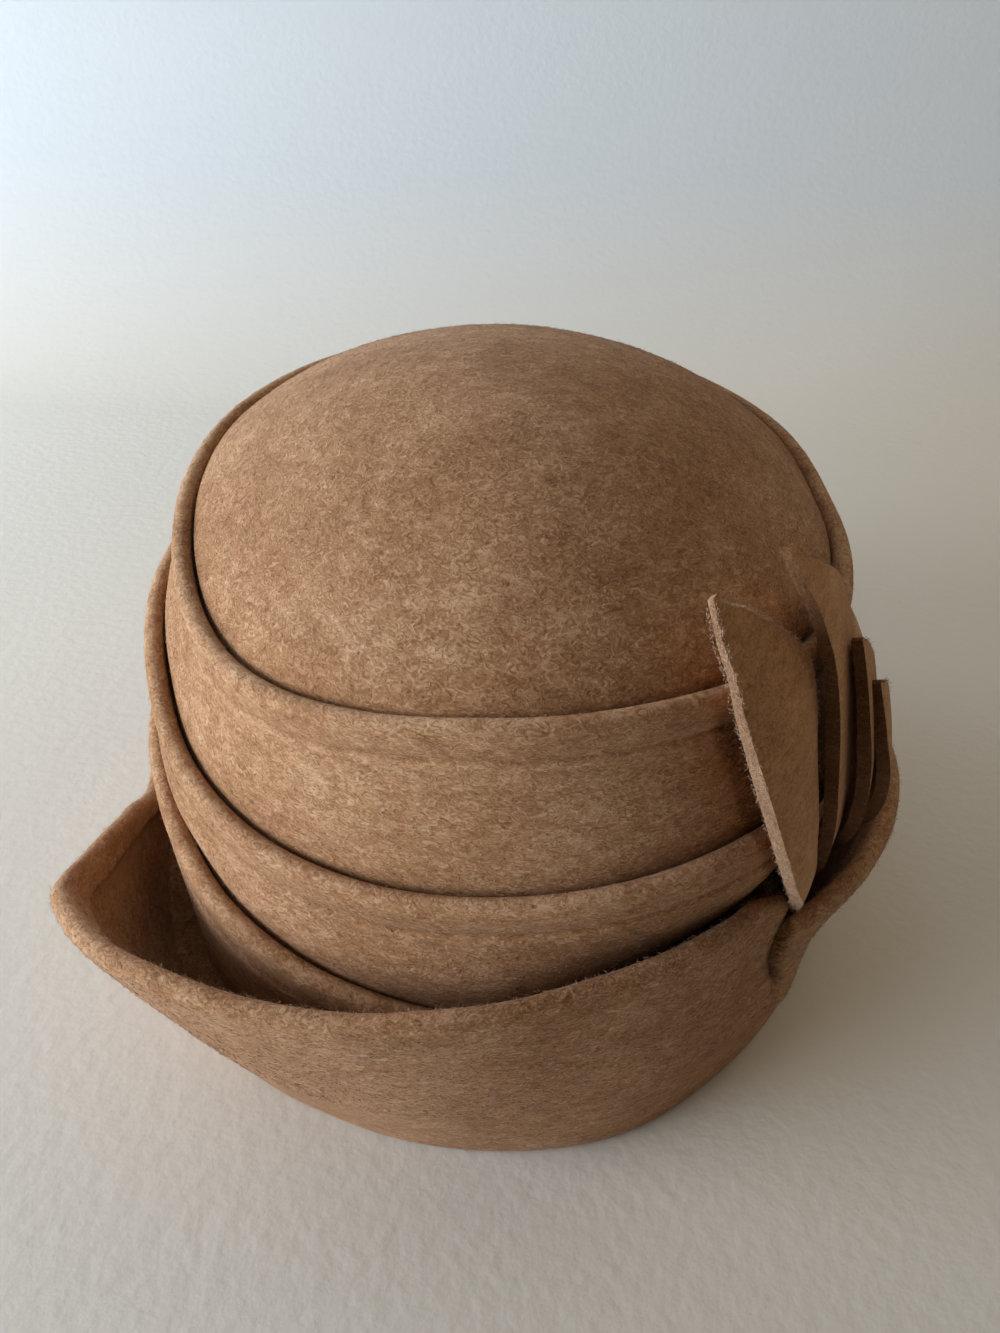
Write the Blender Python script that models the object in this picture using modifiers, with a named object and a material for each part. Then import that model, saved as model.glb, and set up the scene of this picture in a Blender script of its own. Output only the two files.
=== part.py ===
"""Felt cloche hat with three tucks round the crown, a turned-up cuff brim and four felt leaves.

Metres, +Z up. The hat rests on the fold of its brim at height 0, and the wide front of the
cuff faces -Y. Directions are degrees round the crown: 0 is +X, 90 is +Y, -90 is the front.
The hat is blocked from one sheet of felt, so its section in any one direction is a single
line that runs from the crown's top through the tucks, round the bottom fold, up the cuff and
over into the hem. Those sections are lofted round the head and the sheet is given its
thickness.
"""
import math

import bmesh
import bpy
import numpy as np

# Overall sizes
CROWN_WIDTH = 0.1746
CROWN_LENGTH = 0.2016
HAT_HEIGHT = 0.1320
CUFF_HEIGHT = 0.0580
CUFF_REACH = 0.1250

# The sheet and its folds
FELT = 0.0018
TUCK_DEPTH = 0.0055
TUCK_GAP = 0.0007
ROLL_WIDTH = 0.0045
ROLL_SINK = 0.0015
PRESS_DROP = 0.0060
PRESS_PULL = 0.0004
BAND_BULGE = 0.0008
FOLD_WIDTH = 0.0110
FOLD_CORNER = 0.0020
CUFF_BELLY = 0.0015
HEM_WIDTH = 0.0046
HEM_DEPTH = 0.0100

# The leaves
LEAF_THICKNESS = 0.0026
LEAF_WIDTH = 0.0240
LEAF_LIFT = 0.0150
LEAF_STAND = 0.0006

# The dome's side leaves the upper tuck at this slope, in degrees from level
DOME_START = 45.0

# How finely the sections are stepped, with the shares at which bands, wall and cuff are held
SECTION_STEP = 8.0
BAND_SHARE = 0.5
WALL_SHARE = 0.5
CUFF_SHARES = (0.35, 0.70)
DOME_STEPS = 6
ROOT_STEPS = 3
ROLL_STEPS = 4
FOLD_STEPS = 2
HEM_STEPS = 4
LEAF_ACROSS = 4
LEAF_ALONG = 12

# Ovals: half width and half length as shares of the crown's, height as a share of the hat's
OVALS = {
    "upper": dict(width=0.874, length=0.904, height=0.779),
    "middle": dict(width=1.000, length=1.000, height=0.550),
    "lower": dict(width=1.008, length=1.012, height=0.341),
    "foot": dict(width=1.065, length=1.057, height=0.0),
}

# How far each oval is pushed out or in, and raised or dipped, in each direction
OVAL_COLUMNS = (
    "direction", "upper_out", "upper_up", "middle_out", "middle_up",
    "lower_out", "lower_up", "foot_out",
)
OVAL_ROWS = (
    (-180, 0.980, 0.971, 0.970, 1.051, 0.985, 1.110, 1.011),
    (-165, 0.962, 0.941, 0.955, 1.019, 0.970, 1.110, 1.019),
    (-150, 0.955, 0.917, 0.945, 0.974, 0.968, 1.100, 1.025),
    (-135, 0.958, 0.915, 0.952, 0.935, 0.985, 1.087, 1.042),
    (-120, 0.970, 0.940, 0.965, 0.923, 1.013, 1.073, 1.037),
    (-105, 0.983, 0.979, 0.976, 0.945, 1.025, 1.033, 1.022),
    (-90, 0.992, 1.015, 0.987, 0.986, 1.022, 0.969, 1.020),
    (-75, 0.996, 1.025, 0.998, 1.023, 0.960, 0.933, 1.025),
    (-60, 0.994, 1.010, 0.996, 1.037, 0.915, 0.889, 1.006),
    (-45, 0.988, 0.982, 0.955, 1.026, 0.907, 0.867, 0.997),
    (-30, 0.982, 0.962, 0.965, 1.003, 0.930, 0.856, 0.992),
    (0, 0.976, 0.980, 0.990, 0.974, 0.970, 0.844, 0.985),
    (30, 1.013, 1.020, 1.000, 0.981, 0.962, 0.867, 0.980),
    (60, 1.031, 1.044, 1.000, 0.988, 0.960, 0.911, 0.985),
    (90, 1.033, 1.063, 1.003, 1.001, 0.980, 0.956, 0.986),
    (120, 1.033, 1.054, 1.011, 1.023, 0.996, 1.022, 0.994),
    (150, 1.021, 1.020, 1.022, 1.054, 1.006, 1.089, 1.001),
)

# The cuff's edge: reach and height as shares of the cuff's greatest, and how far the cuff
# swells below it (less than 0 where it is drawn in)
CUFF_COLUMNS = ("direction", "reach", "height", "belly")
CUFF_ROWS = (
    (-180, 0.790, 0.340, 1.0),
    (-170, 0.785, 0.325, 1.0),
    (-157, 0.818, 0.500, 1.0),
    (-147, 0.893, 0.640, 1.0),
    (-139, 0.985, 0.745, 1.0),
    (-129, 1.000, 0.840, 1.0),
    (-120, 0.989, 0.895, 1.0),
    (-111, 0.980, 0.928, 1.0),
    (-102, 0.966, 0.960, 1.0),
    (-92, 0.940, 1.000, 1.0),
    (-80, 0.892, 1.000, 1.0),
    (-67, 0.857, 1.000, 1.0),
    (-63, 0.844, 0.990, 1.0),
    (-60, 0.824, 0.965, 0.9),
    (-57.5, 0.816, 0.915, 0.7),
    (-55, 0.830, 0.868, 0.9),
    (-52, 0.851, 0.850, 0.4),
    (-46, 0.856, 0.870, -1.7),
    (-38, 0.851, 0.870, -1.6),
    (-22, 0.834, 0.850, 0.0),
    (0, 0.813, 0.760, 1.0),
    (30, 0.826, 0.670, 1.0),
    (60, 0.864, 0.560, 1.0),
    (90, 0.880, 0.480, 1.0),
    (120, 0.856, 0.430, 1.0),
    (150, 0.812, 0.385, 1.0),
)

# Closer sections where the pinch pleat breaks the cuff
PLEAT_SECTIONS = (-65.0, -62.0, -59.75, -57.5, -55.25, -53.0, -50.0)

# Each leaf from tip to root: height as a share of the hat's, direction of its left edge, width as
# a share of the leaf width, and how far its left and right edges stand off the crown
LEAF_COLUMNS = ("height", "left", "across", "lift", "right_lift")
LEAVES = {
    "leaf_1": (
        (0.943, -68.4, 0.05, 0.57, 0.53),
        (0.902, -68.2, 0.34, 0.53, 0.33),
        (0.856, -67.4, 0.66, 0.50, 0.13),
        (0.818, -67.1, 0.92, 0.48, 0.04),
        (0.788, -66.7, 1.00, 0.47, 0.03),
        (0.667, -64.1, 0.72, 0.38, 0.03),
        (0.530, -60.0, 0.52, 0.30, 0.05),
        (0.410, -53.2, 0.26, 0.07, 0.03),
        (0.333, -50.8, 0.17, 0.01, 0.00),
        (0.290, -50.4, 0.15, 0.00, 0.00),
    ),
    "leaf_2": (
        (0.943, -53.8, 0.05, 0.50, 0.47),
        (0.905, -53.2, 0.30, 0.46, 0.31),
        (0.868, -51.6, 0.55, 0.42, 0.20),
        (0.833, -50.7, 0.78, 0.38, 0.10),
        (0.795, -49.8, 0.88, 0.33, 0.03),
        (0.640, -51.2, 0.76, 0.26, 0.01),
        (0.520, -49.2, 0.56, 0.20, 0.01),
        (0.410, -46.8, 0.27, 0.12, 0.04),
        (0.333, -46.0, 0.17, 0.01, 0.00),
        (0.290, -45.8, 0.15, -0.02, -0.02),
    ),
    "leaf_3": (
        (0.803, -45.6, 0.05, 0.53, 0.51),
        (0.773, -46.2, 0.30, 0.53, 0.38),
        (0.735, -46.9, 0.58, 0.52, 0.26),
        (0.689, -47.4, 0.76, 0.51, 0.18),
        (0.591, -46.3, 0.70, 0.46, 0.10),
        (0.500, -44.0, 0.50, 0.36, 0.08),
        (0.424, -41.6, 0.26, 0.18, 0.08),
        (0.371, -40.6, 0.18, 0.08, 0.04),
        (0.333, -40.3, 0.16, 0.02, 0.00),
        (0.290, -40.2, 0.15, -0.05, -0.05),
    ),
    "leaf_4": (
        (0.750, -42.6, 0.05, 0.655, 0.63),
        (0.720, -43.2, 0.28, 0.655, 0.50),
        (0.674, -43.3, 0.52, 0.645, 0.38),
        (0.621, -42.6, 0.62, 0.625, 0.27),
        (0.545, -40.6, 0.56, 0.555, 0.19),
        (0.470, -38.4, 0.40, 0.43, 0.13),
        (0.409, -36.6, 0.25, 0.24, 0.09),
        (0.371, -35.2, 0.18, 0.09, 0.04),
        (0.333, -35.0, 0.16, 0.02, 0.00),
        (0.290, -35.0, 0.15, -0.06, -0.06),
    ),
}
MATERIALS = {
    "body_felt": dict(colour=(0.42, 0.24, 0.13, 1.0), roughness=0.95),
    "leaf_felt": dict(colour=(0.38, 0.22, 0.12, 1.0), roughness=0.95),
}


def column(rows, columns, name):
    """One named column of a table."""
    index = columns.index(name)
    return np.array([row[index] for row in rows], dtype=float)


def smooth_slopes(places, values):
    """Slopes at the points of a table that keep a curve between them from overshooting."""
    steps = np.diff(places)
    rises = np.diff(values) / steps
    slopes = np.zeros(len(values))
    for i in range(1, len(values) - 1):
        before, after = rises[i - 1], rises[i]
        if before * after > 0.0:
            weight_before = 2.0 * steps[i] + steps[i - 1]
            weight_after = steps[i] + 2.0 * steps[i - 1]
            total = weight_before + weight_after
            slopes[i] = total / (weight_before / before + weight_after / after)
    return slopes


def smooth_curve(places, values, at):
    """A smooth curve through a table's points, read at one place."""
    slopes = smooth_slopes(places, values)
    i = int(np.searchsorted(places, at, side="right")) - 1
    i = min(max(i, 0), len(places) - 2)
    step = places[i + 1] - places[i]
    t = (at - places[i]) / step
    start = (1.0 + 2.0 * t) * (1.0 - t) ** 2 * values[i] + t * (1.0 - t) ** 2 * step * slopes[i]
    end = t * t * (3.0 - 2.0 * t) * values[i + 1] + t * t * (t - 1.0) * step * slopes[i + 1]
    return start + end


def round_the_head(rows, columns, name, direction):
    """A table's column at any direction, smooth right round the head."""
    places = column(rows, columns, "direction")
    values = column(rows, columns, name)
    places = np.concatenate([places - 360.0, places, places + 360.0])
    return smooth_curve(places, np.tile(values, 3), direction)


def oval(name, direction):
    """Reach and height of one of the crown's ovals in one direction."""
    row = OVALS[name]
    angle = math.radians(direction)
    across = math.cos(angle) / (0.5 * CROWN_WIDTH * row["width"])
    along = math.sin(angle) / (0.5 * CROWN_LENGTH * row["length"])
    reach = round_the_head(OVAL_ROWS, OVAL_COLUMNS, name + "_out", direction) / math.hypot(across, along)
    height = HAT_HEIGHT * row["height"]
    if height > 0.0:
        height *= round_the_head(OVAL_ROWS, OVAL_COLUMNS, name + "_up", direction)
    return reach, height


def cuff_edge(direction):
    """Reach and height of the outside of the cuff's edge."""
    reach = CUFF_REACH * round_the_head(CUFF_ROWS, CUFF_COLUMNS, "reach", direction)
    height = CUFF_HEIGHT * round_the_head(CUFF_ROWS, CUFF_COLUMNS, "height", direction)
    return reach, height


def arc(centre, radius, start, end, steps):
    """Points along an arc of a section, with both ends."""
    points = []
    for i in range(steps + 1):
        angle = math.radians(start + (end - start) * i / steps)
        points.append((centre[0] + radius * math.cos(angle), centre[1] + radius * math.sin(angle)))
    return points


def bump(share):
    """A smooth rise from 0 to 1 half way along, and back to 0 at the end."""
    return 4.0 * share * (1.0 - share)


def ridge(name, direction):
    """Reach of the outside of a tuck's roll, and the height of the roll's middle."""
    reach, height = oval(name, direction)
    return reach + TUCK_GAP + ROLL_WIDTH, height - ROLL_SINK


def dome_section(direction):
    """From the crown's top down to just above the upper tuck."""
    reach, height = oval("upper", direction)
    reach -= 0.5 * FELT
    top = HAT_HEIGHT - 0.5 * FELT
    low = math.radians(DOME_START)
    points = []
    for i in range(DOME_STEPS):
        slope = math.radians(90.0 - (90.0 - DOME_START) * i / DOME_STEPS)
        rise = (math.sin(slope) - math.sin(low)) / (1.0 - math.sin(low))
        points.append((reach * math.cos(slope) / math.cos(low), height + (top - height) * rise))
    return points


def tuck_section(name, direction):
    """Down behind the roll, round the tuck's root, up again and over the roll."""
    reach, height = oval(name, direction)
    root_radius = 0.5 * (FELT + TUCK_GAP)
    roll_radius = 0.5 * (ROLL_WIDTH - FELT)
    inner = reach - 0.5 * FELT
    root = (inner + root_radius, height - TUCK_DEPTH + root_radius)
    roll = (inner + 2.0 * root_radius + roll_radius, height - ROLL_SINK)
    points = [(inner, height)]
    points += arc(root, root_radius, 180.0, 360.0, ROOT_STEPS)
    points += arc(roll, roll_radius, 180.0, 0.0, ROLL_STEPS)
    return points


def band_section(above, below, direction):
    """The band under a roll: drawn in along a pressed line, then full again."""
    outside, middle = ridge(above, direction)
    outside -= 0.5 * FELT
    reach, height = oval(below, direction)
    pressed = (outside - PRESS_PULL, middle - PRESS_DROP)
    full = (
        pressed[0] + (reach - pressed[0]) * BAND_SHARE + BAND_BULGE,
        pressed[1] + (height - pressed[1]) * BAND_SHARE,
    )
    return [pressed, full]


def wall_section(direction):
    """Below the lower tuck, in to the head opening."""
    outside, middle = ridge("lower", direction)
    inner = oval("foot", direction)[0] - FOLD_WIDTH + 0.5 * FELT
    low = 0.5 * FELT + FOLD_CORNER
    pressed = (outside - 0.5 * FELT - PRESS_PULL, middle - PRESS_DROP)
    half_way = (
        outside - 0.5 * FELT + (inner - outside) * WALL_SHARE,
        middle + (low - middle) * WALL_SHARE,
    )
    return [pressed, half_way]


def fold_section(direction):
    """The fold that the hat rests on, flat where it touches."""
    outer = oval("foot", direction)[0] - 0.5 * FELT
    inner = outer + FELT - FOLD_WIDTH
    low = 0.5 * FELT + FOLD_CORNER
    inside = arc((inner + FOLD_CORNER, low), FOLD_CORNER, 180.0, 270.0, FOLD_STEPS)
    outside = arc((outer - FOLD_CORNER, low), FOLD_CORNER, 270.0, 360.0, FOLD_STEPS)
    return inside + outside


def cuff_section(direction):
    """Up the cuff and over into the rolled hem."""
    foot = oval("foot", direction)[0] - 0.5 * FELT
    low = 0.5 * FELT + FOLD_CORNER
    reach, height = cuff_edge(direction)
    full = round_the_head(CUFF_ROWS, CUFF_COLUMNS, "belly", direction)
    hem_radius = 0.5 * (HEM_WIDTH - FELT)
    shoulder = (reach - 0.5 * FELT, height - 0.5 * FELT - hem_radius)
    points = []
    for share in CUFF_SHARES:
        belly = CUFF_BELLY * full * bump(share)
        points.append((foot + (shoulder[0] - foot) * share + belly, low + (shoulder[1] - low) * share))
    lean = math.atan2(shoulder[1] - points[-1][1], shoulder[0] - points[-1][0])
    turn = math.degrees(lean) - 90.0
    up = (math.cos(lean), math.sin(lean))
    inward = (-up[1], up[0])
    middle = (shoulder[0] + inward[0] * hem_radius, shoulder[1] + inward[1] * hem_radius)
    hem = arc(middle, hem_radius, turn, turn + 180.0, HEM_STEPS)
    depth = HEM_DEPTH * height / CUFF_HEIGHT
    end = (hem[-1][0] - up[0] * depth, hem[-1][1] - up[1] * depth)
    return points + hem + [end]


def section(direction):
    """The whole centre line of the felt in one direction, from the crown's top to the hem."""
    points = dome_section(direction)
    points += tuck_section("upper", direction)
    points += band_section("upper", "middle", direction)
    points += tuck_section("middle", direction)
    points += band_section("middle", "lower", direction)
    points += tuck_section("lower", direction)
    points += wall_section(direction)
    points += fold_section(direction)
    points += cuff_section(direction)
    return points


def section_directions():
    """Even steps round the head, with the pleat's own closer steps put in their place."""
    count = round(360.0 / SECTION_STEP)
    first, last = PLEAT_SECTIONS[0], PLEAT_SECTIONS[-1]
    margin = 0.5 * SECTION_STEP
    even = [-180.0 + 360.0 * i / count for i in range(count)]
    kept = [angle for angle in even if angle < first - margin or angle > last + margin]
    return sorted(kept + list(PLEAT_SECTIONS))


def place(direction, reach, height, centre):
    """A point of the hat about the middle of its outline."""
    angle = math.radians(direction)
    return (reach * math.cos(angle) - centre[0], reach * math.sin(angle) - centre[1], height)


def outline_centre():
    """The middle of the hat's outline seen from above, which becomes the origin."""
    points = []
    for direction in section_directions():
        reach = max(point[0] for point in section(direction)) + 0.5 * FELT
        points.append(place(direction, reach, 0.0, (0.0, 0.0)))
    points = np.array(points)
    return 0.5 * (points.min(axis=0) + points.max(axis=0))[:2]


def felt_material(name):
    """A dull, fibrous surface in one felt's colour."""
    row = MATERIALS[name]
    material = bpy.data.materials.new(name)
    material.use_nodes = True
    surface = material.node_tree.nodes["Principled BSDF"]
    surface.inputs["Base Color"].default_value = row["colour"]
    surface.inputs["Roughness"].default_value = row["roughness"]
    surface.inputs["Metallic"].default_value = 0.0
    material.diffuse_color = row["colour"]
    return material


def sheet_object(name, bm, thickness, material, collection):
    """An open sheet made into felt of one thickness, half to each side."""
    bmesh.ops.recalc_face_normals(bm, faces=bm.faces)
    mesh = bpy.data.meshes.new(name)
    bm.to_mesh(mesh)
    bm.free()
    mesh.materials.append(material)
    mesh.shade_smooth()
    item = bpy.data.objects.new(name, mesh)
    collection.objects.link(item)
    solidify = item.modifiers.new("Felt thickness", "SOLIDIFY")
    solidify.thickness = thickness
    solidify.offset = 0.0
    solidify.use_even_offset = True
    return item


def make_body(centre, material, collection):
    """Loft the sections round the head, closing the crown at its top."""
    bm = bmesh.new()
    top = None
    rings = []
    for direction in section_directions():
        points = [place(direction, reach, height, centre) for reach, height in section(direction)]
        if top is None:
            top = bm.verts.new(points[0])
        rings.append([bm.verts.new(point) for point in points[1:]])
    for left, right in zip(rings, rings[1:] + rings[:1]):
        bm.faces.new((top, left[0], right[0]))
        for i in range(len(left) - 1):
            bm.faces.new((left[i], left[i + 1], right[i + 1], right[i]))
    return sheet_object("felt_body", bm, FELT, material, collection)


def crown_envelope(direction, height):
    """Reach of the even curve that touches all three rolls, straight down below the lower one."""
    low, middle, high = [ridge(name, direction) for name in ("lower", "middle", "upper")]
    height = max(height, low[1])
    rise = (middle[0] - low[0]) / (middle[1] - low[1])
    next_rise = (high[0] - middle[0]) / (high[1] - middle[1])
    bend = (next_rise - rise) / (high[1] - low[1])
    return low[0] + rise * (height - low[1]) + bend * (height - low[1]) * (height - middle[1])


def leaf_at(rows, name, height):
    """A column of one leaf's table at any height, as a share of the hat's."""
    rows = rows[::-1]
    return smooth_curve(column(rows, LEAF_COLUMNS, "height"), column(rows, LEAF_COLUMNS, name), height)


def make_leaf(name, centre, material, collection):
    """One leaf: a narrow root, a slanting top and a left edge that stands off the crown."""
    rows = LEAVES[name]
    tip, root = rows[0][0], rows[-1][0]
    bm = bmesh.new()
    lines = []
    for i in range(LEAF_ALONG + 1):
        share = root + (tip - root) * i / LEAF_ALONG
        height = HAT_HEIGHT * share
        left = leaf_at(rows, "left", share)
        width = LEAF_WIDTH * leaf_at(rows, "across", share)
        lift = LEAF_LIFT * leaf_at(rows, "lift", share)
        right_lift = LEAF_LIFT * leaf_at(rows, "right_lift", share)
        line = []
        for j in range(LEAF_ACROSS + 1):
            across = j / LEAF_ACROSS
            direction = left + math.degrees(width * across / crown_envelope(left, height))
            reach = crown_envelope(direction, height) + LEAF_STAND + 0.5 * LEAF_THICKNESS
            reach += lift + (right_lift - lift) * across
            line.append(bm.verts.new(place(direction, reach, height, centre)))
        lines.append(line)
    for low, high in zip(lines, lines[1:]):
        for i in range(LEAF_ACROSS):
            bm.faces.new((low[i], low[i + 1], high[i + 1], high[i]))
    return sheet_object(name, bm, LEAF_THICKNESS, material, collection)


def main():
    for item in list(bpy.data.objects):
        bpy.data.objects.remove(item)
    collection = bpy.data.collections.new("Cloche hat")
    bpy.context.scene.collection.children.link(collection)
    body_felt = felt_material("body_felt")
    leaf_felt = felt_material("leaf_felt")
    centre = outline_centre()
    make_body(centre, body_felt, collection)
    for name in LEAVES:
        make_leaf(name, centre, leaf_felt, collection)


main()
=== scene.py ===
"""Felt cloche hat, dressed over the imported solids: fine felt surfaces, nap, raw-edged leaves.

Metres, +Z up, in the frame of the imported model. Directions are degrees round the crown:
0 is +X, 90 is +Y, -90 is the front.
"""
import math

import bpy
import numpy as np
from mathutils import Matrix, Vector


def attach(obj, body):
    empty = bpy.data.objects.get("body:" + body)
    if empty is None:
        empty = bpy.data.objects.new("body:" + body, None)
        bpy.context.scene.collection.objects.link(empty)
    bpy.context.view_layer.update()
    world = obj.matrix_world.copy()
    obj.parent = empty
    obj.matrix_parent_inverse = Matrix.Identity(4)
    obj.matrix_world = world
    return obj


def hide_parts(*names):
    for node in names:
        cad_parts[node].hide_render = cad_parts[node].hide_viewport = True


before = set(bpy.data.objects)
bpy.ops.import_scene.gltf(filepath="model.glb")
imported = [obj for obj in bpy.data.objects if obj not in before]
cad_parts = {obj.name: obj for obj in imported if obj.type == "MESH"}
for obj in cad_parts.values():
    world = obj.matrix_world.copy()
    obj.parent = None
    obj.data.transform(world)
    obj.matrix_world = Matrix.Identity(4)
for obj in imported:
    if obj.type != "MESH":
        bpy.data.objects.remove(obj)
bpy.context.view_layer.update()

# Overall sizes, as the solids have them
CROWN_WIDTH = 0.1746
CROWN_LENGTH = 0.2016
HAT_HEIGHT = 0.1320
CUFF_HEIGHT = 0.0580
CUFF_REACH = 0.1250

# The sheet and its folds
FELT = 0.0018
TUCK_DEPTH = 0.0055
TUCK_GAP = 0.0007
ROLL_WIDTH = 0.0045
ROLL_SINK = 0.0015
PRESS_DROP = 0.0056
PRESS_PULL = 0.0011
PRESS_LIP = 0.0026
BAND_BULGE = 0.0009
FOLD_WIDTH = 0.0110
FOLD_CORNER = 0.0020
CUFF_BELLY = 0.0015
HEM_WIDTH = 0.0046
HEM_DEPTH = 0.0100

# The leaves
LEAF_THICKNESS = 0.0026
LEAF_WIDTH = 0.0240
LEAF_LIFT = 0.0150
LEAF_STAND = 0.0006

# Painted shade in the felt's colour beneath the leaves, in the pleat's crease and where the crown goes
# down behind the cuff in front; painted light inside the flare, drawn paler. Widths and places are in
# degrees, depths in metres
LEAF_SHADOW = 1.0
LEAF_SHADE = 2.8
LEAF_SHADE_TOP = 0.80
PLEAT_SHADE = 3.8
PLEAT_SHADOW = 0.8
PIT_SHADE = 2.4
PIT_SIDES = (-92.0, -70.0, -30.0, -10.0)
PIT_DEPTHS = (-0.002, 0.013)
FLARE_PAINTED_LIGHT = 3.2
FLARE = -158.0
FLARE_SPREAD = 20.0
FLARE_HEIGHTS = (0.006, 0.024)

# Small relief of the felt: its unevenness, and the stitched line of the hem
UNEVEN = 0.00022
STITCH_WIDTH = 0.0006
STITCH_DEPTH = 0.00035
STITCH_LENGTH = 0.0042

# Loose wool: how many fibres of each shade on the crown and the cuff, on the rim and on a leaf
CROWN_FIBRES = 19000
CUFF_FIBRES = 9000
RIM_FIBRES = 4500
FRONT_LEAF_FIBRES = 2200
LEAF_FIBRES = 1100

# The pinch pleat: its middle, how far its lips are drawn together, how wide and deep it is, and how
# far its drift along the cuff spreads
PLEAT = -56.0
PLEAT_SWING = 1.75
PLEAT_REACH = 2.2
PLEAT_SPREAD = 1.25
PLEAT_DRIFT = 5.0
PLEAT_PIT = 1.2
PLEAT_DEPTH = 0.0062
PLEAT_LIP = 0.0009
PLEAT_COLUMNS = ("height", "middle", "amount")
PLEAT_ROWS = (
    (0.0200, -52.0, 0.00),
    (0.0260, -52.6, 0.35),
    (0.0290, -53.2, 0.85),
    (0.0344, -55.2, 1.00),
    (0.0406, -56.4, 1.00),
    (0.0454, -55.9, 1.00),
    (0.0490, -54.8, 1.00),
    (0.0530, -53.4, 1.00),
    (0.0600, -52.0, 1.00),
)

DOME_START = 45.0
BAND_SHARE = 0.5
WALL_SHARE = 0.5
CUFF_SHARES = (0.35, 0.70)

# Where the middle of the outline lies from the crown's middle
CENTRE = (0.00139042, -0.00424489)

# Half width and half length as shares of the crown's, height as a share of the hat's
OVALS = {
    "upper": dict(width=0.874, length=0.904, height=0.779),
    "middle": dict(width=1.000, length=1.000, height=0.550),
    "lower": dict(width=1.008, length=1.012, height=0.341),
    "foot": dict(width=1.065, length=1.057, height=0.0),
}
OVAL_COLUMNS = (
    "direction", "upper_out", "upper_up", "middle_out", "middle_up",
    "lower_out", "lower_up", "foot_out",
)
OVAL_ROWS = (
    (-180, 0.980, 0.971, 0.970, 1.051, 0.985, 1.110, 1.011),
    (-165, 0.962, 0.941, 0.955, 1.019, 0.970, 1.110, 1.019),
    (-150, 0.955, 0.917, 0.945, 0.974, 0.968, 1.100, 1.025),
    (-135, 0.958, 0.915, 0.952, 0.935, 0.985, 1.087, 1.042),
    (-120, 0.970, 0.940, 0.965, 0.923, 1.013, 1.073, 1.037),
    (-105, 0.983, 0.979, 0.976, 0.945, 1.025, 1.033, 1.022),
    (-90, 0.992, 1.015, 0.987, 0.986, 1.022, 0.969, 1.020),
    (-75, 0.996, 1.025, 0.998, 1.023, 0.960, 0.933, 1.025),
    (-60, 0.994, 1.010, 0.996, 1.037, 0.915, 0.889, 1.006),
    (-45, 0.988, 0.982, 0.955, 1.026, 0.907, 0.867, 0.997),
    (-30, 0.982, 0.962, 0.965, 1.003, 0.930, 0.856, 0.992),
    (0, 0.976, 0.980, 0.990, 0.974, 0.970, 0.844, 0.985),
    (30, 1.013, 1.020, 1.000, 0.981, 0.962, 0.867, 0.980),
    (60, 1.031, 1.044, 1.000, 0.988, 0.960, 0.911, 0.985),
    (90, 1.033, 1.063, 1.003, 1.001, 0.980, 0.956, 0.986),
    (120, 1.033, 1.054, 1.011, 1.023, 0.996, 1.022, 0.994),
    (150, 1.021, 1.020, 1.022, 1.054, 1.006, 1.089, 1.001),
)
CUFF_COLUMNS = ("direction", "reach", "height", "belly")
CUFF_ROWS = (
    (-180, 0.790, 0.340, 1.0),
    (-170, 0.785, 0.325, 1.0),
    (-157, 0.818, 0.500, 1.0),
    (-147, 0.893, 0.640, 1.0),
    (-139, 0.985, 0.745, 1.0),
    (-129, 1.000, 0.840, 1.0),
    (-120, 0.989, 0.895, 1.0),
    (-111, 0.980, 0.928, 1.0),
    (-102, 0.966, 0.960, 1.0),
    (-92, 0.940, 1.000, 1.0),
    (-80, 0.892, 1.000, 1.0),
    (-67, 0.857, 1.000, 1.0),
    (-63, 0.844, 0.990, 1.0),
    (-60, 0.824, 0.965, 0.9),
    (-57.5, 0.816, 0.915, 0.7),
    (-55, 0.830, 0.868, 0.9),
    (-52, 0.851, 0.850, 0.4),
    (-46, 0.856, 0.870, -1.7),
    (-38, 0.851, 0.870, -1.6),
    (-22, 0.834, 0.850, 0.0),
    (0, 0.813, 0.760, 1.0),
    (30, 0.826, 0.670, 1.0),
    (60, 0.864, 0.560, 1.0),
    (90, 0.880, 0.480, 1.0),
    (120, 0.856, 0.430, 1.0),
    (150, 0.812, 0.385, 1.0),
)

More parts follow.
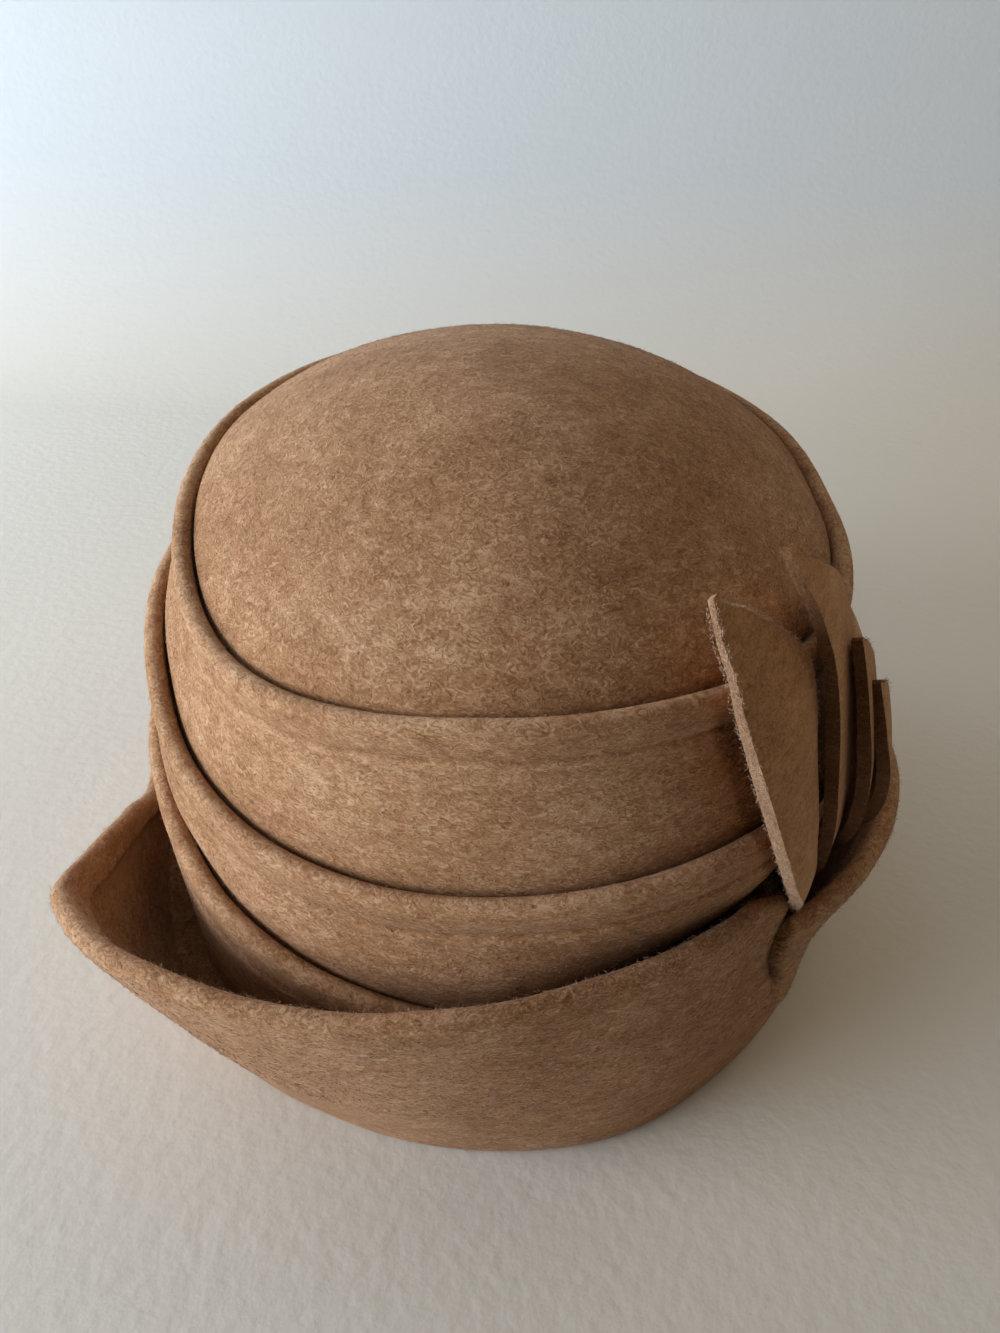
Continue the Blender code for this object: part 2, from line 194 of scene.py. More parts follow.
# Each leaf from tip to root: height as a share of the hat's, direction of its left edge, width as
# a share of the leaf width, and how far its left and right edges stand off the crown
LEAF_COLUMNS = ("height", "left", "across", "lift", "right_lift")
LEAVES = {
    "leaf_1": (
        (0.937, -68.4, 0.05, 0.57, 0.53),
        (0.897, -68.2, 0.34, 0.53, 0.33),
        (0.850, -67.4, 0.66, 0.50, 0.13),
        (0.812, -67.1, 0.92, 0.48, 0.04),
        (0.786, -66.7, 0.99, 0.47, 0.03),
        (0.667, -64.1, 0.72, 0.38, 0.03),
        (0.530, -60.0, 0.52, 0.30, 0.06),
        (0.430, -55.4, 0.34, 0.24, 0.14),
        (0.380, -53.2, 0.26, 0.18, 0.12),
        (0.345, -51.8, 0.20, 0.13, 0.09),
        (0.315, -51.0, 0.15, 0.02, 0.02),
        (0.290, -50.6, 0.13, 0.00, 0.00),
    ),
    "leaf_2": (
        (0.943, -53.8, 0.05, 0.50, 0.47),
        (0.905, -53.4, 0.30, 0.46, 0.31),
        (0.868, -52.2, 0.57, 0.42, 0.20),
        (0.833, -51.6, 0.80, 0.38, 0.10),
        (0.795, -51.0, 0.92, 0.33, 0.03),
        (0.640, -52.3, 0.82, 0.25, 0.01),
        (0.520, -50.2, 0.60, 0.20, 0.01),
        (0.410, -47.2, 0.29, 0.17, 0.08),
        (0.371, -46.4, 0.21, 0.12, 0.06),
        (0.333, -46.0, 0.17, 0.01, 0.00),
        (0.290, -45.8, 0.15, -0.02, -0.02),
    ),
    "leaf_3": (
        (0.800, -45.2, 0.05, 0.45, 0.44),
        (0.773, -45.9, 0.30, 0.47, 0.33),
        (0.735, -46.8, 0.62, 0.49, 0.22),
        (0.689, -47.4, 0.90, 0.50, 0.12),
        (0.591, -46.3, 0.86, 0.45, 0.05),
        (0.500, -43.8, 0.62, 0.36, 0.06),
        (0.424, -41.2, 0.32, 0.26, 0.10),
        (0.371, -40.2, 0.20, 0.13, 0.06),
        (0.333, -40.0, 0.16, 0.02, 0.00),
        (0.290, -40.0, 0.15, -0.05, -0.05),
    ),
    "leaf_4": (
        (0.735, -43.6, 0.05, 0.53, 0.52),
        (0.708, -44.2, 0.30, 0.56, 0.43),
        (0.668, -44.4, 0.58, 0.59, 0.33),
        (0.621, -43.6, 0.76, 0.59, 0.22),
        (0.545, -41.2, 0.74, 0.53, 0.14),
        (0.470, -38.4, 0.54, 0.43, 0.12),
        (0.409, -35.8, 0.32, 0.32, 0.12),
        (0.371, -34.6, 0.20, 0.13, 0.07),
        (0.333, -34.2, 0.16, 0.02, 0.00),
        (0.290, -34.2, 0.15, -0.06, -0.06),
    ),
}

# How finely the felt is drawn: degrees between sections by region, and steps along a section
SECTION_STEPS = ((-180.0, -62.0, 0.8), (-62.0, -50.0, 0.25), (-50.0, 0.0, 0.9), (0.0, 180.0, 1.8))


def column(rows, columns, name):
    """One named column of a table."""
    index = columns.index(name)
    return np.array([row[index] for row in rows], dtype=float)


def smooth_slopes(places, values):
    """Slopes at the points of a table that keep a curve between them from overshooting."""
    steps = np.diff(places)
    rises = np.diff(values) / steps
    slopes = np.zeros(len(values))
    for i in range(1, len(values) - 1):
        before, after = rises[i - 1], rises[i]
        if before * after > 0.0:
            weight_before = 2.0 * steps[i] + steps[i - 1]
            weight_after = steps[i] + 2.0 * steps[i - 1]
            total = weight_before + weight_after
            slopes[i] = total / (weight_before / before + weight_after / after)
    return slopes


def smooth_curve(places, values, at):
    """A curve through a table's points, read at many places."""
    slopes = smooth_slopes(places, values)
    i = np.clip(np.searchsorted(places, at, side="right") - 1, 0, len(places) - 2)
    step = places[i + 1] - places[i]
    t = (at - places[i]) / step
    start = (1.0 + 2.0 * t) * (1.0 - t) ** 2 * values[i] + t * (1.0 - t) ** 2 * step * slopes[i]
    end = t * t * (3.0 - 2.0 * t) * values[i + 1] + t * t * (t - 1.0) * step * slopes[i + 1]
    return start + end


def round_the_head(rows, columns, name, directions):
    """A table's column at many directions, smooth right round the head."""
    places = column(rows, columns, "direction")
    values = column(rows, columns, name)
    places = np.concatenate([places - 360.0, places, places + 360.0])
    return smooth_curve(places, np.tile(values, 3), directions)


def oval(name, directions):
    """Reach and height of one of the crown's ovals."""
    row = OVALS[name]
    angle = np.radians(directions)
    across = np.cos(angle) / (0.5 * CROWN_WIDTH * row["width"])
    along = np.sin(angle) / (0.5 * CROWN_LENGTH * row["length"])
    out = round_the_head(OVAL_ROWS, OVAL_COLUMNS, name + "_out", directions)
    reach = out / np.hypot(across, along)
    height = np.full_like(reach, HAT_HEIGHT * row["height"])
    if row["height"] > 0.0:
        height = height * round_the_head(OVAL_ROWS, OVAL_COLUMNS, name + "_up", directions)
    return reach, height


def cuff_edge(directions):
    """Reach and height of the outside of the cuff's edge."""
    reach = CUFF_REACH * round_the_head(CUFF_ROWS, CUFF_COLUMNS, "reach", directions)
    height = CUFF_HEIGHT * round_the_head(CUFF_ROWS, CUFF_COLUMNS, "height", directions)
    return reach, height


def arc(centre, radius, start, end, steps):
    """Points along an arc of every section, with both ends."""
    points = []
    for i in range(steps + 1):
        angle = np.radians(start + (end - start) * i / steps)
        points.append((centre[0] + radius * np.cos(angle), centre[1] + radius * np.sin(angle)))
    return points


def bump(share):
    """A smooth rise from 0 to 1 half way along, and back to 0 at the end."""
    return 4.0 * share * (1.0 - share)


def ridge(name, directions):
    """Reach of the outside of a tuck's roll, and the height of the roll's middle."""
    reach, height = oval(name, directions)
    return reach + TUCK_GAP + ROLL_WIDTH, height - ROLL_SINK


def dome_section(directions):
    reach, height = oval("upper", directions)
    reach = reach - 0.5 * FELT
    top = HAT_HEIGHT - 0.5 * FELT
    low = math.radians(DOME_START)
    points = []
    steps = 12
    for i in range(steps):
        slope = math.radians(90.0 - (90.0 - DOME_START) * i / steps)
        rise = (math.sin(slope) - math.sin(low)) / (1.0 - math.sin(low))
        points.append((reach * math.cos(slope) / math.cos(low), height + (top - height) * rise, 0.0))
    return points


def tuck_section(name, directions):
    reach, height = oval(name, directions)
    root_radius = 0.5 * (FELT + TUCK_GAP)
    roll_radius = 0.5 * (ROLL_WIDTH - FELT)
    inner = reach - 0.5 * FELT
    root = (inner + root_radius, height - TUCK_DEPTH + root_radius)
    roll = (inner + 2.0 * root_radius + roll_radius, height - ROLL_SINK)
    # The third number of each point is the felt's tone: painted shade down in the tuck's root and on its
    # inner side, paler rubbed felt on the roll's crest.
    points = [(inner, height, -0.5)]
    points += [(x, z, -1.0) for x, z in arc(root, root_radius, 180.0, 360.0, 4)]
    tone = (-0.9, -0.1, 0.5, 0.9, 0.7, 0.4, 0.2)
    points += [(x, z, w) for (x, z), w in zip(arc(roll, roll_radius, 180.0, 0.0, 6), tone)]
    return points


def press_section(outside, middle):
    """The line pressed in under a roll, with the small lip that it leaves below: painted shade darkens the
    pressed line, and the lip is drawn paler.
    """
    return [
        (outside - 0.4 * PRESS_PULL, middle - 0.62 * PRESS_DROP, 0.0),
        (outside - PRESS_PULL, middle - PRESS_DROP, -0.6),
        (outside - 0.5 * PRESS_PULL, middle - PRESS_DROP - 0.5 * PRESS_LIP, 0.5),
        (outside - 0.6 * PRESS_PULL, middle - PRESS_DROP - PRESS_LIP, 0.1),
    ]


def band_section(above, below, directions):
    outside, middle = ridge(above, directions)
    outside = outside - 0.5 * FELT
    reach, height = oval(below, directions)
    points = press_section(outside, middle)
    pressed = points[-1]
    full = (
        pressed[0] + (reach - pressed[0]) * BAND_SHARE + BAND_BULGE,
        pressed[1] + (height - pressed[1]) * BAND_SHARE,
        0.1,
    )
    return points + [full]


def wall_section(directions):
    outside, middle = ridge("lower", directions)
    outside = outside - 0.5 * FELT
    inner = oval("foot", directions)[0] - FOLD_WIDTH + 0.5 * FELT
    low = 0.5 * FELT + FOLD_CORNER
    points = press_section(outside, middle)
    # Painted shade: the wall is drawn darker half way down to the fold.
    half_way = (
        outside + (inner - outside) * WALL_SHARE,
        middle + (low - middle) * WALL_SHARE,
        -0.3,
    )
    return points + [half_way]


def fold_section(directions):
    outer = oval("foot", directions)[0] - 0.5 * FELT
    inner = outer + FELT - FOLD_WIDTH
    low = 0.5 * FELT + FOLD_CORNER
    inside = arc((inner + FOLD_CORNER, low), FOLD_CORNER, 180.0, 270.0, 3)
    outside = arc((outer - FOLD_CORNER, low), FOLD_CORNER, 270.0, 360.0, 3)
    # Painted shade: the inside of the fold at the foot is drawn darker.
    return [(x, z, -0.6) for x, z in inside] + [(x, z, 0.1) for x, z in outside]


def cuff_section(directions):
    foot = oval("foot", directions)[0] - 0.5 * FELT
    low = 0.5 * FELT + FOLD_CORNER
    reach, height = cuff_edge(directions)
    full = round_the_head(CUFF_ROWS, CUFF_COLUMNS, "belly", directions)
    flat = 1.0 - 0.4 * np.exp(-((directions - PLEAT) / 3.0) ** 2)
    hem_radius = 0.5 * (HEM_WIDTH * flat - FELT)
    shoulder = (reach - 0.5 * FELT, height - 0.5 * FELT - hem_radius)
    points = []
    for share in CUFF_SHARES:
        belly = CUFF_BELLY * full * bump(share)
        across = foot + (shoulder[0] - foot) * share + belly
        points.append((across, low + (shoulder[1] - low) * share, 0.0))
    lean = np.arctan2(shoulder[1] - points[-1][1], shoulder[0] - points[-1][0])
    turn = np.degrees(lean) - 90.0
    up = (np.cos(lean), np.sin(lean))
    inward = (-up[1], up[0])
    middle = (shoulder[0] + inward[0] * hem_radius, shoulder[1] + inward[1] * hem_radius)
    # The hem's rolled crest is drawn paler as rubbed felt; painted shade darkens the hem's end, tucked in
    # under it.
    tone = (0.2, 0.4, 0.7, 0.9, 0.7, 0.4, 0.1)
    hem = [(x, z, w) for (x, z), w in zip(arc(middle, hem_radius, turn, turn + 180.0, 6), tone)]
    depth = HEM_DEPTH * height / CUFF_HEIGHT
    end = (hem[-1][0] - up[0] * depth, hem[-1][1] - up[1] * depth, -0.6)
    return points + hem + [end]


def section_points(directions):
    """The felt's centre line in every direction, the steps after each point, and its tone: rubbed crests
    paler, painted shade in the creases.
    """
    parts = [
        (dome_section(directions), 1),
        (tuck_section("upper", directions), 1),
        (band_section("upper", "middle", directions), 2),
        (tuck_section("middle", directions), 1),
        (band_section("middle", "lower", directions), 2),
        (tuck_section("lower", directions), 1),
        (wall_section(directions), 1),
        (fold_section(directions), 1),
        (cuff_section(directions), 1),
    ]
    points, steps = [], []
    for piece, count in parts:
        points += piece
        steps += [count] * len(piece)
    steps[-len(parts[-1][0]) - 1] = 4
    steps[-len(parts[-1][0])] = 5
    steps[-len(parts[-1][0]) + 1] = 6
    steps[-2] = 6
    cuff_start = len(points) - len(parts[-1][0])
    grid = np.array([np.stack([np.broadcast_to(p[0], directions.shape),
                               np.broadcast_to(p[1], directions.shape)], -1) for p in points])
    return grid, steps, [p[2] for p in points], cuff_start


def smooth_lines(grid, steps, wear_and_shading):
    """A smooth line through each section's points, with steps[i] pieces after point i."""
    gaps = np.maximum(np.linalg.norm(np.diff(grid, axis=0), axis=-1), 1e-6) ** 0.5
    lines, tone = [grid[0]], [wear_and_shading[0]]
    count = len(grid)
    for i in range(count - 1):
        here, after = grid[i], grid[i + 1]
        gap = gaps[i][:, None]
        if i > 0:
            before_gap = gaps[i - 1][:, None]
            slope_a = ((here - grid[i - 1]) / before_gap - (after - grid[i - 1]) / (before_gap + gap)
                       + (after - here) / gap) * gap
        else:
            slope_a = after - here
        if i < count - 2:
            after_gap = gaps[i + 1][:, None]
            slope_b = ((after - here) / gap - (grid[i + 2] - here) / (gap + after_gap)
                       + (grid[i + 2] - after) / after_gap) * gap
        else:
            slope_b = after - here
        pieces = max(steps[i], 1)
        for k in range(1, pieces + 1):
            t = k / pieces
            tone.append(wear_and_shading[i] + (wear_and_shading[i + 1] - wear_and_shading[i]) * t)
            if k == pieces:
                lines.append(after)
                continue
            lines.append((2 * t**3 - 3 * t**2 + 1) * here + (t**3 - 2 * t**2 + t) * slope_a
                         + (3 * t**2 - 2 * t**3) * after + (t**3 - t**2) * slope_b)
    return np.array(lines), np.array(tone)


def ease(low, high, values):
    """A smooth step from 0 at low to 1 at high."""
    t = np.clip((values - low) / (high - low), 0.0, 1.0)
    return t * t * (3.0 - 2.0 * t)


def pleat(directions, height):
    """How far the pinch pleat carries the cuff along and out, and how deep in its crease a place is, the
    mask of the painted shade there.
    """
    places = column(PLEAT_ROWS, PLEAT_COLUMNS, "height")
    level = np.clip(height, places[0], places[-1])
    middle = np.interp(level, places, column(PLEAT_ROWS, PLEAT_COLUMNS, "middle"))
    amount = np.interp(level, places, column(PLEAT_ROWS, PLEAT_COLUMNS, "amount"))
    off = directions - PLEAT
    before = np.exp(-((off + PLEAT_REACH) / PLEAT_SPREAD) ** 2)
    after = np.exp(-((off - PLEAT_REACH) / PLEAT_SPREAD) ** 2)
    drawn = PLEAT_SWING * amount * (before - after)
    swing = (middle - PLEAT) * np.exp(-(off / PLEAT_DRIFT) ** 2) + drawn
    sink = np.exp(-(off / PLEAT_PIT) ** 2)
    # The mask of the painted shade in the pleat's crease.
    deep = amount * np.exp(-((off + drawn) / PLEAT_SHADOW) ** 2)
    return swing, amount * (PLEAT_LIP * (before + after) - PLEAT_DEPTH * sink), deep


def section_directions():
    """Where the sections are cut round the head, closer where the camera and the pleat are."""
    places = [np.arange(first, last - 1e-6, step) for first, last, step in SECTION_STEPS]
    return np.concatenate(places)


def place(directions, reach, height):
    """Points of the hat about the middle of its outline."""
    angle = np.radians(directions)
    return np.stack([reach * np.cos(angle) - CENTRE[0], reach * np.sin(angle) - CENTRE[1],
                     np.broadcast_to(height, np.shape(reach))], -1)


def wobble(directions, along, waves, seed):
    """A gentle, repeatable unevenness between about -1 and 1, seamless round the head."""
    rng = np.random.default_rng(seed)
    total = np.zeros(np.broadcast(directions, along).shape)
    for _ in range(waves):
        turns = rng.integers(2, 9)
        rise = rng.uniform(20.0, 75.0)
        total = total + np.sin(np.radians(directions) * turns + along * rise + rng.uniform(0.0, 6.28))
    return total / math.sqrt(waves)


def unit(vectors):
    """The same directions with length 1."""
    return vectors / np.maximum(np.linalg.norm(vectors, axis=-1, keepdims=True), 1e-12)


def beneath_leaves(directions, height):
    """How deep under the leaves a place of the crown lies, from 0 in the open to 1: the mask of the
    painted shade beneath the leaves.
    """
    covered = np.zeros(np.broadcast(directions, height).shape)
    share = height / HAT_HEIGHT
    for rows in LEAVES.values():
        level = np.clip(share, rows[-1][0], rows[0][0])
        left = leaf_at(rows, "left", level)
        width = LEAF_WIDTH * leaf_at(rows, "across", level)
        right = left + np.degrees(width / crown_envelope(left, HAT_HEIGHT * level))
        inside = ease(left - LEAF_SHADOW, left + 0.5, directions)
        inside = inside * (1.0 - ease(right + 0.5, right + LEAF_SHADOW, directions))
        inside = inside * ease(rows[-1][0] - 0.08, rows[-1][0], share)
        top = min(LEAF_SHADE_TOP, rows[0][0])
        inside = inside * (1.0 - ease(top - 0.05, top, share))
        covered = np.maximum(covered, inside)
    return covered


def body_surface():
    """The felt's middle surface, its outward directions, its tone with painted shade and painted light,
    and the row where the cuff starts.
    """
    directions = section_directions()
    grid, steps, wear_and_shading, cuff_start = section_points(directions)
    lines, tone = smooth_lines(grid, steps, wear_and_shading)
    first = sum(max(count, 1) for count in steps[:cuff_start])
    reach, height = lines[..., 0].copy(), lines[..., 1].copy()
    run = np.concatenate([np.zeros((1, lines.shape[1])),
                          np.cumsum(np.linalg.norm(np.diff(lines, axis=0), axis=-1), axis=0)])
    soft = UNEVEN * wobble(directions[None, :], run, 9, 11)
    calm = np.clip(height / 0.012, 0.0, 1.0) * np.clip(reach / 0.03, 0.0, 1.0)
    reach += soft * calm
    turned = np.repeat(directions[None, :], len(lines), axis=0)
    swing, out, deep = pleat(turned[first:], height[first:])
    turned[first:] += swing
    reach[first:] += out
    points = place(turned, reach, height)
    along = np.gradient(points, axis=0)
    around = np.roll(points, -1, axis=1) - np.roll(points, 1, axis=1)
    outward = unit(np.cross(along, around))
    outward[0] = (0.0, 0.0, 1.0)
    if outward[3, 0, 2] < 0.0:
        outward[1:] *= -1.0
    shaded_tone = np.repeat(tone[:, None], len(directions), axis=1)
    # Painted shade in the pinch pleat's crease.
    shaded_tone[first:] -= PLEAT_SHADE * deep
    # Painted shade beneath the leaves.
    shaded_tone[:first] -= LEAF_SHADE * beneath_leaves(directions[None, :], height[:first])
    # Painted shade where the crown goes down behind the cuff in front.
    over = height[:first] - cuff_edge(directions)[1][None, :]
    front = ease(*PIT_SIDES[:2], directions) * (1.0 - ease(*PIT_SIDES[2:], directions))
    shaded_tone[:first] -= PIT_SHADE * front * (1.0 - ease(*PIT_DEPTHS, over))
    # Painted light: the inner face of the flare is drawn paler.
    flare = np.exp(-((directions - FLARE) / FLARE_SPREAD) ** 2)
    shaded_tone[first:] += FLARE_PAINTED_LIGHT * flare * ease(*FLARE_HEIGHTS, height[first:])
    return directions, points, outward, run, shaded_tone, first


def add_mesh(name, points, faces, material, wear_and_shading=None):
    """A smooth mesh object from points and faces, with each point's tone of rubbed felt, painted shade and
    painted light if it is known.
    """
    mesh = bpy.data.meshes.new(name)
    points = np.asarray(points, dtype=np.float32)
    faces = [np.asarray(block, dtype=np.int32) for block in faces]
    sizes = np.concatenate([np.full(len(block), block.shape[1], dtype=np.int32) for block in faces])
    corners = np.concatenate([block.reshape(-1) for block in faces])
    mesh.vertices.add(len(points))
    mesh.vertices.foreach_set("co", points.reshape(-1))
    mesh.loops.add(len(corners))
    mesh.loops.foreach_set("vertex_index", corners)
    mesh.polygons.add(len(sizes))
    starts = np.concatenate([[0], np.cumsum(sizes)[:-1]])
    mesh.polygons.foreach_set("loop_start", starts.astype(np.int32))
    mesh.update(calc_edges=True)
    if wear_and_shading is not None:
        layer = mesh.attributes.new("wear_and_shading", "FLOAT", "POINT")
        layer.data.foreach_set("value", np.asarray(wear_and_shading, dtype=np.float32))
    mesh.materials.append(material)
    mesh.shade_smooth()
    item = bpy.data.objects.new(name, mesh)
    bpy.context.scene.collection.objects.link(item)
    return item


def grid_faces(rows, columns, first, wrap, flip):
    """Quads over a grid of points that starts at one index."""
    i, n = np.meshgrid(np.arange(rows - 1), np.arange(columns if wrap else columns - 1), indexing="ij")
    m = (n + 1) % columns
    a, b = first + i * columns + n, first + i * columns + m
    c, d = a + columns, b + columns
    order = (a, b, d, c) if flip else (a, c, d, b)
    return np.stack(order, -1).reshape(-1, 4)


def make_body(material):
    """The hat's felt: outside and inside surfaces joined at the hem's raw edge."""
    directions, points, outward, run, tone, first = body_surface()
    rows, columns = points.shape[:2]
    outside = points + outward * 0.5 * FELT
    inside = points - outward * 0.5 * FELT
    edge = run[-1][None, :] - run
    depth = HEM_DEPTH * cuff_edge(directions)[1] / CUFF_HEIGHT
    hem = 2.0 * depth + 0.5 * math.pi * (HEM_WIDTH - FELT)
    stitch = np.exp(-((edge - hem[None, :]) / STITCH_WIDTH) ** 2)
    line = points[first + 6]
    around = np.cumsum(np.linalg.norm(np.diff(line, axis=0, prepend=line[:1]), axis=-1))
    pucker = 0.5 + 0.5 * np.sin(around * 2.0 * math.pi / STITCH_LENGTH)
    dent = STITCH_DEPTH * stitch * (0.55 + 0.45 * pucker[None, :])
    inside[first:] += outward[first:] * dent[first:, :, None]
    tops = [outside[0, :1], inside[0, :1]]
    verts = np.concatenate(tops + [outside[1:].reshape(-1, 3), inside[1:].reshape(-1, 3)])
    outer_first = 2
    inner_first = 2 + (rows - 1) * columns
    n = np.arange(columns)
    m = (n + 1) % columns
    last = (rows - 2) * columns
    outer_last, inner_last = outer_first + last, inner_first + last
    faces = [
        np.stack([np.zeros_like(n), outer_first + n, outer_first + m], -1),
        np.stack([np.ones_like(n), inner_first + m, inner_first + n], -1),
        grid_faces(rows - 1, columns, outer_first, True, False),
        grid_faces(rows - 1, columns, inner_first, True, True),
        np.stack([outer_last + n, inner_last + n, inner_last + m, outer_last + m], -1),
    ]
    outer_tone = tone[1:].reshape(-1)
    # Painted shade: the inside of the crown is drawn darker. The cuff's outside takes the tone at 0.4, the
    # deep painted shade of the pleat's crease at full strength.
    on_cuff = np.where(tone < -1.0, tone, 0.4 * np.minimum(tone, 1.0))
    inner = np.where(np.arange(rows)[:, None] > first, on_cuff, -0.4)
    inner[first:] += 0.8 * stitch[first:] * (pucker[None, :] - 0.35)
    wear_and_shading = np.concatenate([[0.0, -0.4], outer_tone, inner[1:].reshape(-1)])
    body = add_mesh("felt_hat", verts, faces, material, wear_and_shading)
    return body, points, outside, inside, outward, first


def crown_envelope(directions, height):
    """Reach of the even curve that touches all three rolls, straight down below the lower one."""
    low, middle, high = [ridge(name, directions) for name in ("lower", "middle", "upper")]
    height = np.maximum(height, low[1])
    rise = (middle[0] - low[0]) / (middle[1] - low[1])
    next_rise = (high[0] - middle[0]) / (high[1] - middle[1])
    bend = (next_rise - rise) / (high[1] - low[1])
    return low[0] + rise * (height - low[1]) + bend * (height - low[1]) * (height - middle[1])


def leaf_at(rows, name, height):
    """A column of one leaf's table at many heights, as shares of the hat's."""
    rows = rows[::-1]
    return smooth_curve(column(rows, LEAF_COLUMNS, "height"), column(rows, LEAF_COLUMNS, name), height)


def leaf_sheet(name, steps, across_steps):
    """The middle surface of one leaf, as a grid from root to tip and from left to right."""
    rows = LEAVES[name]
    share = np.linspace(rows[-1][0], rows[0][0], steps)
    across = np.linspace(0.0, 1.0, across_steps)[None, :]
    height = HAT_HEIGHT * share
    left = leaf_at(rows, "left", share)
    width = LEAF_WIDTH * leaf_at(rows, "across", share)
    lift = LEAF_LIFT * leaf_at(rows, "lift", share)
    right_lift = LEAF_LIFT * leaf_at(rows, "right_lift", share)
    turn = np.degrees(width / crown_envelope(left, height))
    directions = left[:, None] + turn[:, None] * across
    heights = np.broadcast_to(height[:, None], directions.shape)
    reach = crown_envelope(directions, heights) + LEAF_STAND + 0.5 * LEAF_THICKNESS
    reach = reach + lift[:, None] + (right_lift - lift)[:, None] * across
    return place(directions, reach, heights)


def make_leaf(name, face, edge, thin):
    """One leaf of thick felt with raw cut edges, its tip thinned by a share."""
    sheet = leaf_sheet(name, 97, 31)
    rows, columns = sheet.shape[:2]
    faces = [grid_faces(rows, columns, 0, False, False)]
    item = add_mesh(name + "_felt", sheet.reshape(-1, 3), faces, face, np.zeros(rows * columns))
    item.data.materials.append(edge)
    group = item.vertex_groups.new(name="thickness")
    share = np.linspace(0.0, 1.0, rows)
    for row in range(rows):
        full = 1.0 - thin * ease(0.62, 1.0, share[row])
        group.add(list(range(row * columns, (row + 1) * columns)), float(full), "REPLACE")
    solidify = item.modifiers.new("Felt thickness", "SOLIDIFY")
    solidify.thickness = LEAF_THICKNESS
    solidify.vertex_group = "thickness"
    solidify.thickness_vertex_group = 0.45
    solidify.offset = 0.0
    solidify.use_even_offset = True
    solidify.material_offset_rim = 1
    bevel = item.modifiers.new("Worn edge", "BEVEL")
    bevel.width = 0.0004
    bevel.segments = 2
    bevel.limit_method = "ANGLE"
    bevel.angle_limit = math.radians(50.0)
    return item, sheet


def scatter(grid, outward, count, rng):
    """Places spread evenly over a grid surface, with the surface's own directions there."""
    a, b = grid[:-1], np.roll(grid, -1, axis=1)[:-1]
    c = grid[1:]
    area = np.linalg.norm(np.cross(b - a, c - a), axis=-1)
    area[np.linalg.norm(b - a, axis=-1) > 0.01] = 0.0
    chance = area.reshape(-1) / area.sum()
    cells = rng.choice(chance.size, count, p=chance)
    i, n = np.divmod(cells, grid.shape[1])
    m = (n + 1) % grid.shape[1]
    u, v = rng.random((count, 1)), rng.random((count, 1))
    low = grid[i, n] * (1 - u) + grid[i, m] * u
    high = grid[i + 1, n] * (1 - u) + grid[i + 1, m] * u
    side = unit(grid[i, m] - grid[i, n] + 1e-9)
    return low * (1 - v) + high * v, unit(outward[i, n]), side


def make_nap(name, spots, normals, sides, length, thick, stand, material, rng):
    """Loose fibres of the felt: thin closed spindles that lie mostly round the head."""
    count = len(spots)
    swing = rng.normal(0.0, 0.62, (count, 1))
    other = unit(np.cross(normals, sides))
    flow = sides * np.cos(swing) + other * np.sin(swing)
    flow = flow * np.where(rng.random((count, 1)) < 0.5, -1.0, 1.0)
    lean = np.abs(rng.normal(0.0, stand, (count, 1)))
    axis = unit(flow * np.cos(lean) + normals * np.sin(lean))
    size = length * rng.uniform(0.6, 1.4, (count, 1))
    start = spots - normals * thick * 0.3
    curl = unit(np.cross(axis, normals)) * rng.normal(0.0, 0.12, (count, 1)) * size
    middle = start + axis * size * 0.5 + curl + normals * thick * 0.6
    end = start + axis * size
    side = unit(np.cross(axis, normals))
    lift = unit(np.cross(side, axis))
    ring = [middle + thick * (side * math.cos(a) + lift * math.sin(a)) for a in (0.5, 2.6, 4.7)]
    points = np.stack([start, ring[0], ring[1], ring[2], end], axis=1).reshape(-1, 3)
    base = np.arange(count)[:, None] * 5
    pattern = ((0, 2, 1), (0, 3, 2), (0, 1, 3), (4, 1, 2), (4, 2, 3), (4, 3, 1))
    faces = np.concatenate([base + np.array([tri]) for tri in pattern])
    return add_mesh(name, points, [faces], material)


def leaf_rim(sheet, count, rng):
    """Places on a leaf's raw edges, the way out there and the way along the edge."""
    rows = len(sheet)
    edges = []
    for side, inner, low in ((0, 1, 0.12), (-1, -2, 0.55)):
        i = rng.integers(int(low * rows), rows - 2, count)
        out = unit(sheet[i, side] - sheet[i, inner])
        along = unit(sheet[i + 1, side] - sheet[i, side])
        face = unit(np.cross(out, along))
        spread = rng.uniform(-0.5, 0.5, (count, 1)) * LEAF_THICKNESS
        step = rng.random((count, 1))
        spots = sheet[i, side] * (1.0 - step) + sheet[i + 1, side] * step + face * spread
        edges.append((spots, out, along))
    return [np.concatenate(parts) for parts in zip(*edges)]


